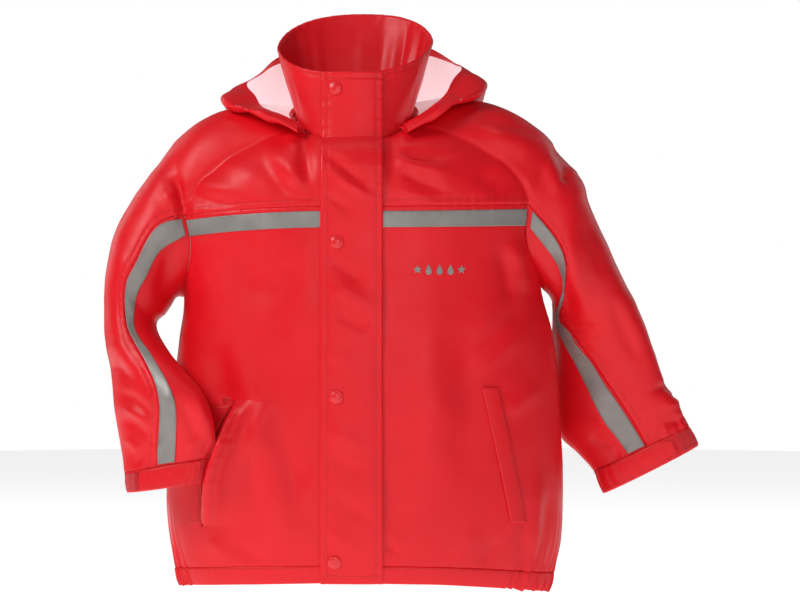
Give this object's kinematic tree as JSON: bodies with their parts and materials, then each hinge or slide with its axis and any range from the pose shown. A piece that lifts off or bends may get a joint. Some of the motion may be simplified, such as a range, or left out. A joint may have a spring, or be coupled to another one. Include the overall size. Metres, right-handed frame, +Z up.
{
  "type": "kids rain jacket",
  "caption": "Child's hooded rain jacket, filled out and hollow, with stand-up collar, snapped storm flap over a zip, reflective tape, slanted pockets and cuff tabs.",
  "frame": {"origin": "middle of the neck between the shoulders, where the wearer's neck and shoulders hold the jacket up", "axes": "+Z up, -Y towards the jacket's front, +X towards the wearer's left"},
  "size_m": [0.5937, 0.248, 0.5851],
  "materials": {
    "coated_red_cloth": "polyurethane-coated knit, satin sheen",
    "hood_cloth": "same coated cloth outside, off-white backing inside",
    "reflective_tape": "grey retroreflective tape, fine beaded",
    "red_loop_pile": "short loop pile of a touch fastener",
    "red_snap": "moulded snap cap, semi-gloss",
    "red_zip": "zip tape and closed teeth, dyed to match"
  },
  "bodies": {
    "root": {"back": "coated_red_cloth", "hem_back": "coated_red_cloth", "front_right": "coated_red_cloth", "front_left": "coated_red_cloth", "hem_front_right": "coated_red_cloth", "hem_front_left": "coated_red_cloth", "upper_right": "coated_red_cloth", "upper_left": "coated_red_cloth", "sleeve_under_right": "coated_red_cloth", "sleeve_under_left": "coated_red_cloth", "cuff_right": "coated_red_cloth", "cuff_left": "coated_red_cloth", "cuff_tab_right": "coated_red_cloth", "cuff_tab_left": "coated_red_cloth", "cuff_patch_right": "red_loop_pile", "cuff_patch_left": "red_loop_pile", "collar": "coated_red_cloth", "hood_right": "hood_cloth", "hood_left": "hood_cloth", "storm_flap": "coated_red_cloth", "front_zip": "red_zip", "snap_1": "red_snap", "snap_2": "red_snap", "snap_3": "red_snap", "snap_4": "red_snap", "chest_stripe_right": "reflective_tape", "chest_stripe_left": "reflective_tape", "sleeve_stripe_right": "reflective_tape", "sleeve_stripe_left": "reflective_tape", "pocket_welt_right": "coated_red_cloth", "pocket_welt_left": "coated_red_cloth", "pocket_facing_right": "coated_red_cloth"}
  },
  "joints": []
}
